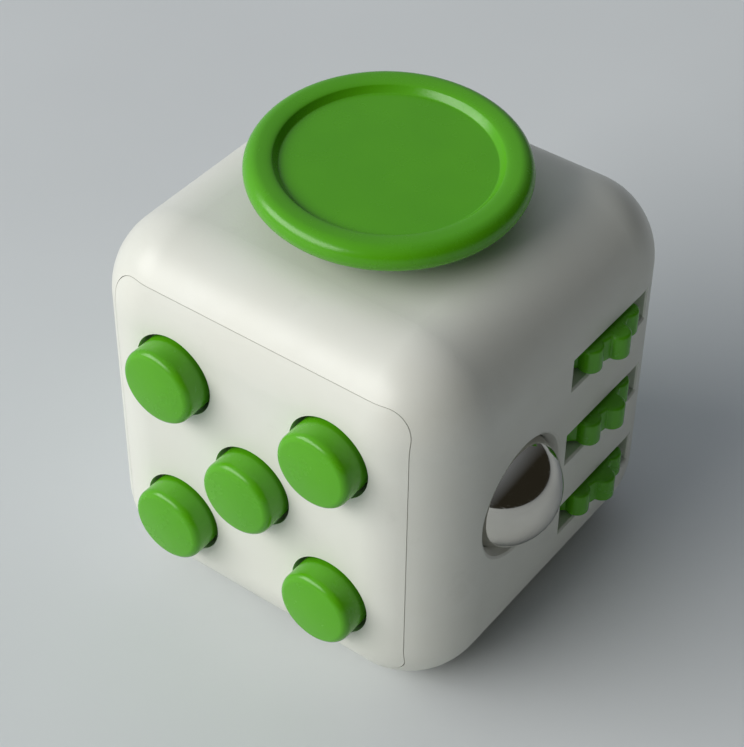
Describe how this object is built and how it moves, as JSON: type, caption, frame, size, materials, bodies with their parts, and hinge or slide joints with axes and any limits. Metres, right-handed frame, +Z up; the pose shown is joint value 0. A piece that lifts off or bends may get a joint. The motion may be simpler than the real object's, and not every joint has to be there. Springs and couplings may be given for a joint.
{
  "type": "fidget cube",
  "caption": "Palm-sized rounded cube with a different thumb toy on each face: push buttons, tilting joystick disc, gears and a ball, rocker, dial and dish.",
  "frame": {"origin": "middle of the face the cube rests on, the face with the thumb dish", "axes": "+Z up to the joystick disc, -Y out of the push-button face, +X out of the face with the gears and the ball"},
  "size_m": [0.0379, 0.0377, 0.0382],
  "materials": {
    "shell_white": "moulded ABS with a fine satin texture",
    "accent_green": "moulded ABS, satin, coloured through",
    "nylon_natural": "natural moulded nylon",
    "switch_black": "black moulded plastic, satin",
    "acetal_grey": "grey acetal, slightly waxy",
    "silicone": "translucent silicone rubber",
    "circuit_board": "lacquered fibreglass board",
    "polished_steel": "polished steel ball",
    "plated_sheet": "nickel-plated sheet steel",
    "screw_steel": "zinc-plated steel",
    "pin_steel": "ground steel",
    "spring_steel": "drawn spring wire"
  },
  "bodies": {
    "shell": {"main_shell": "shell_white", "front_cover": "shell_white", "switch_board": "circuit_board", "board_screws": "screw_steel", "switch_plates": "plated_sheet", "switch_legs": "plated_sheet", "click_switch_top_left": "switch_black", "click_switch_centre": "switch_black", "click_switch_bottom_right": "switch_black", "silent_pad_top_right": "silicone", "silent_pad_bottom_left": "silicone", "joystick_frame": "nylon_natural", "frame_screws": "screw_steel", "centring_spring": "spring_steel", "gear_bracket": "nylon_natural", "bracket_screws": "screw_steel", "gear_axle": "pin_steel", "gear_spacers": "acetal_grey", "ball_spring": "spring_steel", "ball_bridge": "nylon_natural", "bridge_screws": "screw_steel", "rocker_pin": "pin_steel", "rocker_cam": "plated_sheet", "rocker_frame": "nylon_natural", "rocker_screws": "screw_steel", "friction_washer": "plated_sheet"},
    "push_button_top_left": {"button_top_left": "accent_green", "click_plunger_top_left": "switch_black"},
    "push_button_top_right": {"button_top_right": "accent_green"},
    "push_button_centre": {"button_centre": "accent_green", "click_plunger_centre": "switch_black"},
    "push_button_bottom_left": {"button_bottom_left": "accent_green"},
    "push_button_bottom_right": {"button_bottom_right": "accent_green", "click_plunger_bottom_right": "switch_black"},
    "gimbal": {"gimbal_ring": "switch_black", "gimbal_pins": "pin_steel"},
    "joystick": {"joystick_cap": "accent_green", "joystick_dome": "switch_black", "joystick_stem": "acetal_grey", "stem_pin": "pin_steel"},
    "thumb_gear_top": {"gear_top": "accent_green"},
    "thumb_gear_middle": {"gear_middle": "accent_green"},
    "thumb_gear_bottom": {"gear_bottom": "accent_green"},
    "ball_carriage": {"ball_cup": "nylon_natural"},
    "ball": {"steel_ball": "polished_steel"},
    "rocker": {"flip_rocker": "accent_green", "rocker_plunger": "pin_steel"},
    "dial": {"spin_dial": "accent_green", "dial_washer": "plated_sheet", "dial_screw": "screw_steel"}
  },
  "joints": [
    {"name": "press_top_left", "type": "slide", "parent": "shell", "child": "push_button_top_left", "axis": [0, 1, 0], "range_m": [0, 0.0008], "stiffness_N_per_m": 1500, "springref_m": -0.0003},
    {"name": "press_top_right", "type": "slide", "parent": "shell", "child": "push_button_top_right", "axis": [0, 1, 0], "range_m": [0, 0.0008], "stiffness_N_per_m": 900, "springref_m": -0.0003, "deforming": ["silent_pad_top_right"]},
    {"name": "press_centre", "type": "slide", "parent": "shell", "child": "push_button_centre", "axis": [0, 1, 0], "range_m": [0, 0.0008], "stiffness_N_per_m": 1500, "springref_m": -0.0003},
    {"name": "press_bottom_left", "type": "slide", "parent": "shell", "child": "push_button_bottom_left", "axis": [0, 1, 0], "range_m": [0, 0.0008], "stiffness_N_per_m": 900, "springref_m": -0.0003, "deforming": ["silent_pad_bottom_left"]},
    {"name": "press_bottom_right", "type": "slide", "parent": "shell", "child": "push_button_bottom_right", "axis": [0, 1, 0], "range_m": [0, 0.0008], "stiffness_N_per_m": 1500, "springref_m": -0.0003},
    {"name": "joystick_pitch", "type": "hinge", "parent": "shell", "child": "gimbal", "pos_m": [0, 0, 0.0275], "axis": [1, 0, 0], "range_deg": [-11, 6], "stiffness_Nm_per_rad": 0.06, "deforming": ["centring_spring"]},
    {"name": "joystick_roll", "type": "hinge", "parent": "gimbal", "child": "joystick", "pos_m": [0, 0, 0.0275], "axis": [0, 0.999, 0.0436], "range_deg": [-11, 6], "stiffness_Nm_per_rad": 0.06},
    {"name": "gear_top_spin", "type": "hinge", "parent": "shell", "child": "thumb_gear_top", "pos_m": [0.0127, 0.006, 0.02405], "axis": [0, 0, 1], "continuous": true},
    {"name": "gear_middle_spin", "type": "hinge", "parent": "shell", "child": "thumb_gear_middle", "pos_m": [0.0127, 0.006, 0.0165], "axis": [0, 0, 1], "continuous": true},
    {"name": "gear_bottom_spin", "type": "hinge", "parent": "shell", "child": "thumb_gear_bottom", "pos_m": [0.0127, 0.006, 0.00895], "axis": [0, 0, 1], "continuous": true},
    {"name": "ball_press", "type": "slide", "parent": "shell", "child": "ball_carriage", "axis": [-1, 0, 0], "range_m": [0, 0.0008], "stiffness_N_per_m": 2000, "springref_m": -0.0004, "deforming": ["ball_spring"]},
    {"name": "ball_roll", "type": "hinge", "parent": "ball_carriage", "child": "ball", "pos_m": [0.01449, -0.0052, 0.0165], "axis": [0, 0, 1], "continuous": true},
    {"name": "rocker_flip", "type": "hinge", "parent": "shell", "child": "rocker", "pos_m": [-0.0126, 0, 0.0165], "axis": [0, 1, 0], "range_deg": [0, 20]},
    {"name": "dial_spin", "type": "hinge", "parent": "shell", "child": "dial", "pos_m": [0, 0.0165, 0.0165], "axis": [0, 1, 0], "continuous": true}
  ]
}
